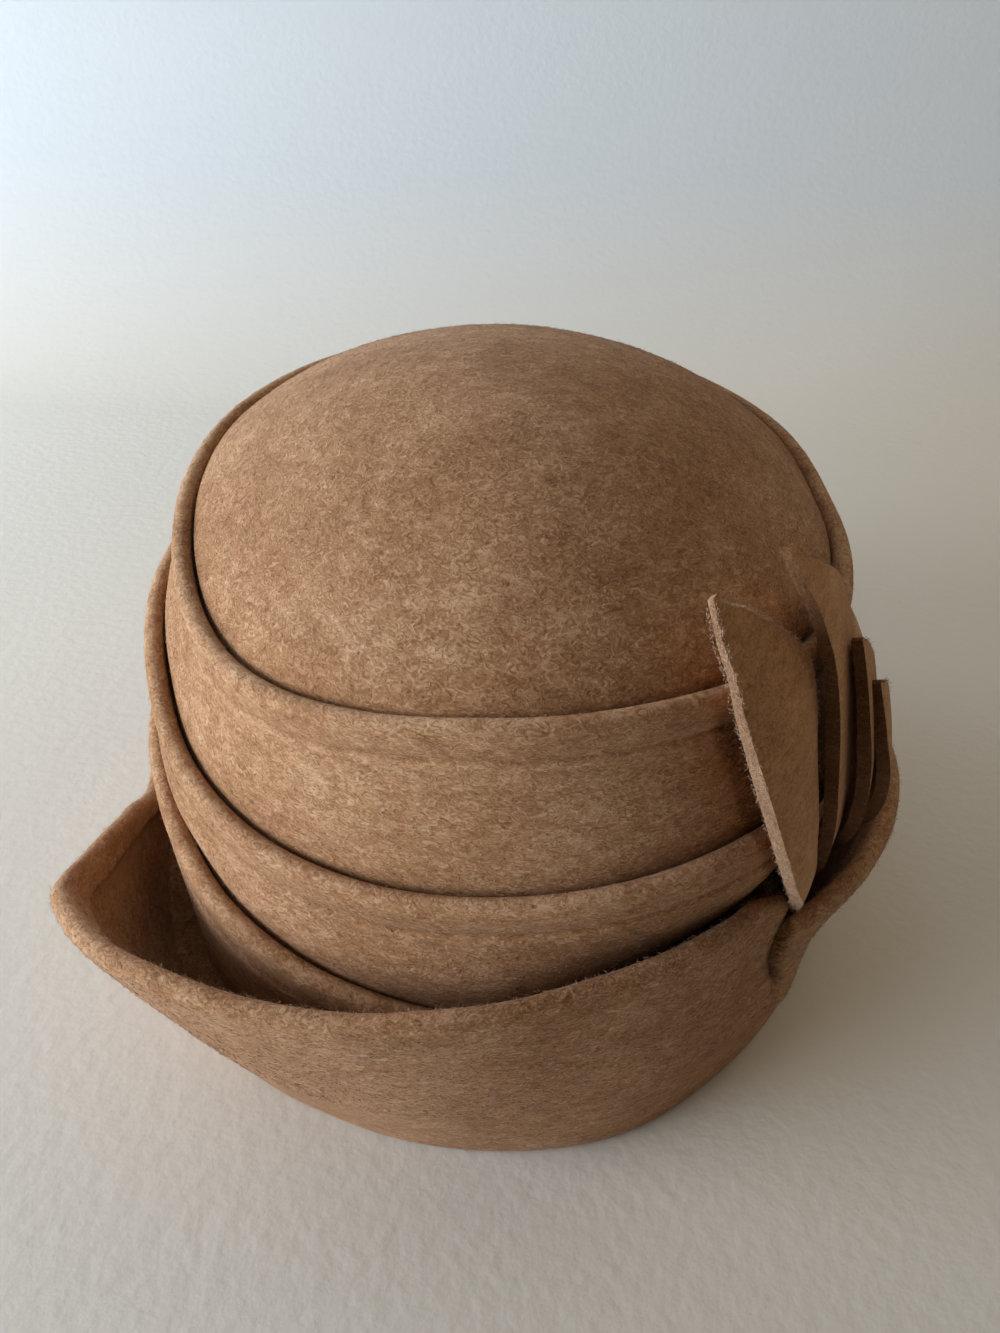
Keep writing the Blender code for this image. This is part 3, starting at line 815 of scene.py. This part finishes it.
def felt_material(name, dark, base, pale, relief=0.00020, fleck=560.0, sheen=0.16):
    """Wool felt: soft clouds, flecks of nap that lie round the head, fine grain, and a per-point tone with
    rubbed crests, painted shade and painted light.
    """
    material = bpy.data.materials.new(name)
    material.use_nodes = True
    nodes, links = material.node_tree.nodes, material.node_tree.links
    surface = nodes["Principled BSDF"]
    surface.inputs["Specular IOR Level"].default_value = 0.12
    surface.inputs["Sheen Weight"].default_value = sheen
    surface.inputs["Sheen Roughness"].default_value = 0.5
    surface.inputs["Sheen Tint"].default_value = (1.0, 0.76, 0.58, 1.0)

    where = nodes.new("ShaderNodeTexCoord")
    lie = nodes.new("ShaderNodeMapping")
    lie.inputs["Scale"].default_value = (1.0, 1.0, 2.3)
    links.new(where.outputs["Object"], lie.inputs["Vector"])

    def noise(scale, detail, rough, distortion, vector):
        node = nodes.new("ShaderNodeTexNoise")
        node.inputs["Scale"].default_value = scale
        node.inputs["Detail"].default_value = detail
        node.inputs["Roughness"].default_value = rough
        node.inputs["Distortion"].default_value = distortion
        links.new(vector, node.inputs["Vector"])
        return node.outputs["Fac"]

    def add_scaled(value, scale, onto, offset=0.0):
        node = nodes.new("ShaderNodeMath")
        node.operation = "MULTIPLY_ADD"
        node.inputs[1].default_value = scale
        links.new(value, node.inputs[0])
        if onto is None:
            node.inputs[2].default_value = offset
        else:
            links.new(onto, node.inputs[2])
        return node.outputs["Value"]

    clouds = noise(38.0, 3.0, 0.55, 0.4, where.outputs["Object"])
    patches = noise(190.0, 2.0, 0.5, 0.8, lie.outputs["Vector"])
    flecks = noise(fleck, 2.0, 0.6, 1.8, lie.outputs["Vector"])
    grain = noise(fleck * 3.6, 2.0, 0.6, 0.6, lie.outputs["Vector"])
    wear_and_shading = nodes.new("ShaderNodeAttribute")
    wear_and_shading.attribute_name = "wear_and_shading"

    shade = add_scaled(clouds, 0.34, None, -0.38)
    shade = add_scaled(patches, 0.34, shade)
    shade = add_scaled(flecks, 0.82, shade)
    shade = add_scaled(grain, 0.26, shade)
    # The tone attribute: rubbed crests paler; painted shade in creases, beneath the leaves, in the front
    # pit and the pleat's crease; painted light inside the flare.
    shade = add_scaled(wear_and_shading.outputs["Fac"], 0.10, shade)
    ramp = nodes.new("ShaderNodeValToRGB")
    ramp.color_ramp.elements[0].position = 0.28
    ramp.color_ramp.elements[0].color = (*dark, 1.0)
    ramp.color_ramp.elements[1].position = 0.74
    ramp.color_ramp.elements[1].color = (*pale, 1.0)
    middle = ramp.color_ramp.elements.new(0.50)
    middle.color = (*base, 1.0)
    # A near-black stop, reached only where the painted shade is deepest.
    deep = ramp.color_ramp.elements.new(0.02)
    deep.color = (*[0.10 * c for c in dark], 1.0)
    links.new(shade, ramp.inputs["Fac"])
    links.new(ramp.outputs["Color"], surface.inputs["Base Color"])

    links.new(add_scaled(flecks, 0.25, None, 0.78), surface.inputs["Roughness"])
    rise = add_scaled(grain, 0.30, flecks)
    rise = add_scaled(patches, 0.45, rise)
    bump_node = nodes.new("ShaderNodeBump")
    bump_node.inputs["Strength"].default_value = 1.0
    bump_node.inputs["Distance"].default_value = relief
    links.new(rise, bump_node.inputs["Height"])
    links.new(bump_node.outputs["Normal"], surface.inputs["Normal"])
    return material


def fibre_material(name, colour):
    """One shade of the felt's loose wool."""
    material = bpy.data.materials.new(name)
    material.use_nodes = True
    nodes, links = material.node_tree.nodes, material.node_tree.links
    surface = nodes["Principled BSDF"]
    surface.inputs["Specular IOR Level"].default_value = 0.15
    surface.inputs["Sheen Weight"].default_value = 0.3
    where = nodes.new("ShaderNodeTexCoord")
    tint = nodes.new("ShaderNodeTexNoise")
    tint.inputs["Scale"].default_value = 420.0
    tint.inputs["Detail"].default_value = 2.0
    links.new(where.outputs["Object"], tint.inputs["Vector"])
    ramp = nodes.new("ShaderNodeValToRGB")
    ramp.color_ramp.elements[0].position = 0.3
    ramp.color_ramp.elements[0].color = (*[0.72 * c for c in colour], 1.0)
    ramp.color_ramp.elements[1].position = 0.7
    ramp.color_ramp.elements[1].color = (*[1.2 * c for c in colour], 1.0)
    links.new(tint.outputs["Fac"], ramp.inputs["Fac"])
    links.new(ramp.outputs["Color"], surface.inputs["Base Color"])
    rough = nodes.new("ShaderNodeMath")
    rough.operation = "MULTIPLY_ADD"
    rough.inputs[1].default_value = 0.3
    rough.inputs[2].default_value = 0.65
    links.new(tint.outputs["Fac"], rough.inputs[0])
    links.new(rough.outputs["Value"], surface.inputs["Roughness"])
    return material


def stage_material(name, floor, wall, relief):
    """A pale stage surface with a faint mottle, floor colour below and wall colour above."""
    material = bpy.data.materials.new(name)
    material.use_nodes = True
    nodes, links = material.node_tree.nodes, material.node_tree.links
    surface = nodes["Principled BSDF"]
    surface.inputs["Roughness"].default_value = 0.9
    surface.inputs["Specular IOR Level"].default_value = 0.1
    where = nodes.new("ShaderNodeTexCoord")
    split = nodes.new("ShaderNodeSeparateXYZ")
    links.new(where.outputs["Object"], split.inputs["Vector"])
    ramp = nodes.new("ShaderNodeValToRGB")
    ramp.color_ramp.elements[0].position = 0.0
    ramp.color_ramp.elements[0].color = (*floor, 1.0)
    ramp.color_ramp.elements[1].position = 0.10
    ramp.color_ramp.elements[1].color = (*wall, 1.0)
    links.new(split.outputs["Z"], ramp.inputs["Fac"])
    links.new(ramp.outputs["Color"], surface.inputs["Base Color"])
    mottle = nodes.new("ShaderNodeTexNoise")
    mottle.inputs["Scale"].default_value = 260.0
    mottle.inputs["Detail"].default_value = 4.0
    links.new(where.outputs["Object"], mottle.inputs["Vector"])
    bump_node = nodes.new("ShaderNodeBump")
    bump_node.inputs["Distance"].default_value = relief
    links.new(mottle.outputs["Fac"], bump_node.inputs["Height"])
    links.new(bump_node.outputs["Normal"], surface.inputs["Normal"])
    return material


def make_stage():
    """A pale sweep that is floor in front and wall behind."""
    bend, back = 0.16, 0.30
    profile = [(-1.6, 0.0), (back, 0.0)]
    for i in range(1, 25):
        angle = math.radians(90.0 * i / 24)
        profile.append((back + bend * math.sin(angle), bend * (1.0 - math.cos(angle))))
    profile.append((back + bend, 1.6))
    points = [(x, y, z) for y, z in profile for x in (-1.8, 1.8)]
    material = stage_material("sweep", (0.82, 0.80, 0.74), (0.70, 0.76, 0.81), 0.0002)
    sweep = add_mesh("sweep", points, [grid_faces(len(profile), 2, 0, False, True)], material)


def area_light(name, towards, distance, size, power, colour):
    """A soft light out along a direction from the hat, facing it."""
    light = bpy.data.lights.new(name, "AREA")
    light.shape = "DISK"
    light.size = size
    light.energy = power
    light.color = colour
    item = bpy.data.objects.new(name, light)
    item.location = Vector((0.0, 0.0, 0.06)) + Vector(towards).normalized() * distance
    item.rotation_mode = "QUATERNION"
    item.rotation_quaternion = Vector(towards).to_track_quat("Z", "Y")
    bpy.context.scene.collection.objects.link(item)


def make_camera():
    """The photograph's view: from in front and above, a little rolled."""
    pitch, roll = math.radians(35.31), math.radians(2.31)
    back = Vector((0.0, -math.cos(pitch), math.sin(pitch)))
    level = Vector((1.0, 0.0, 0.0))
    upright = back.cross(level)
    right = level * math.cos(roll) + upright * math.sin(roll)
    up = upright * math.cos(roll) - level * math.sin(roll)
    matrix = Matrix((right, up, back)).transposed().to_4x4()
    matrix.translation = Vector((-0.0005 - CENTRE[0], -0.2213 - CENTRE[1], 0.2067))
    lens = bpy.data.cameras.new("Camera")
    lens.sensor_width = 36.0
    lens.lens = 27.0068
    lens.clip_start = 0.01
    item = bpy.data.objects.new("Camera", lens)
    item.matrix_world = matrix
    bpy.context.scene.collection.objects.link(item)
    bpy.context.scene.camera = item


def main():
    scene = bpy.context.scene
    scene.view_settings.view_transform = "Standard"
    body_felt = felt_material(
        "hat_felt", (0.215, 0.098, 0.040), (0.375, 0.198, 0.098), (0.60, 0.385, 0.235))
    # Painted light: the leaves' faces take a lighter copy of the hat's felt, for the light they catch.
    leaf_felt = felt_material(
        "leaf_felt_face_painted_light", (0.29, 0.135, 0.054), (0.44, 0.228, 0.106), (0.60, 0.345, 0.185), relief=0.00010)
    pale_cut = felt_material(
        "leaf_felt_cut", (0.22, 0.11, 0.050), (0.40, 0.225, 0.125), (0.66, 0.45, 0.30),
        relief=0.0003, fleck=900.0)
    # Painted shadow: a darker copy of the cut felt, without sheen, for the raw edges of leaves 2 to 4 in
    # the shade of the leaf before them.
    shadowed_cut = felt_material(
        "leaf_felt_cut_painted_shadow", (0.085, 0.036, 0.013), (0.145, 0.064, 0.026), (0.25, 0.125, 0.058),
        relief=0.0003, fleck=900.0, sheen=0.0)
    body, points, outside, inside, outward, first = make_body(body_felt)
    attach(body, "root")
    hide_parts("felt_body")

    rng = np.random.default_rng(5)
    shades = (
        ("nap_pale", (0.66, 0.44, 0.285), 0.0011, 0.000035, 0.14),
        ("nap_mid", (0.40, 0.215, 0.11), 0.0013, 0.000045, 0.22),
        ("nap_dark", (0.20, 0.092, 0.040), 0.0011, 0.000040, 0.10),
    )
    for name, colour, length, thick, stand in shades:
        crown = scatter(outside[1:], outward[1:], CROWN_FIBRES, rng)
        cuff = scatter(inside[first:], -outward[first:], CUFF_FIBRES, rng)
        spots, normals, sides = [np.concatenate(pair) for pair in zip(crown, cuff)]
        wool = fibre_material(name, colour)
        nap = make_nap(name, spots, normals, sides, length, thick, stand, wool, rng)
        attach(nap, "root")

    top = np.argmax(points[first:, :, 2].mean(axis=1)) + first
    rim = slice(top - 3, top + 5)
    spots, normals, sides = scatter(inside[rim], -outward[rim], RIM_FIBRES, rng)
    fuzz = make_nap("rim_fuzz", spots, normals, sides, 0.0012, 0.000028, 0.75,
                    fibre_material("rim_wool", (0.62, 0.40, 0.25)), rng)
    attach(fuzz, "root")

    for name in LEAVES:
        front_leaf = name == "leaf_1"
        # Painted shadow: the back leaves take the darker cut felt and dark loose wool; the front leaf
        # keeps the paler cut felt and pale wool.
        cut, thin = (pale_cut, 1.0) if front_leaf else (shadowed_cut, 0.3)
        leaf, sheet = make_leaf(name, leaf_felt, cut, thin)
        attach(leaf, "root")
        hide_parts(name)
        spots, outs, alongs = leaf_rim(sheet, FRONT_LEAF_FIBRES if front_leaf else LEAF_FIBRES, rng)
        colour = (0.70, 0.50, 0.35) if front_leaf else (0.19, 0.095, 0.045)
        fuzz = make_nap(name + "_fuzz", spots, outs, alongs, 0.0009, 0.00003, 0.55,
                        fibre_material(name + "_wool", colour), rng)
        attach(fuzz, "root")
    make_stage()
    area_light("Window", (-0.93, -0.37, 0.10), 0.88, 0.75, 13.2, (0.87, 0.93, 1.0))
    area_light("Window_back", (-0.80, 0.50, 0.25), 0.80, 0.6, 2.6, (0.88, 0.94, 1.0))
    area_light("Ceiling", (0.1, -0.1, 1.0), 1.3, 1.3, 0.3, (1.0, 0.78, 0.52))
    area_light("Room", (0.56, 0.40, 0.66), 0.80, 0.5, 0.9, (1.0, 0.78, 0.52))
    world = bpy.data.worlds.new("Studio")
    world.use_nodes = True
    sky = world.node_tree.nodes["Background"]
    sky.inputs["Color"].default_value = (1.0, 0.84, 0.64, 1.0)
    sky.inputs["Strength"].default_value = 0.13
    scene.world = world
    make_camera()


main()
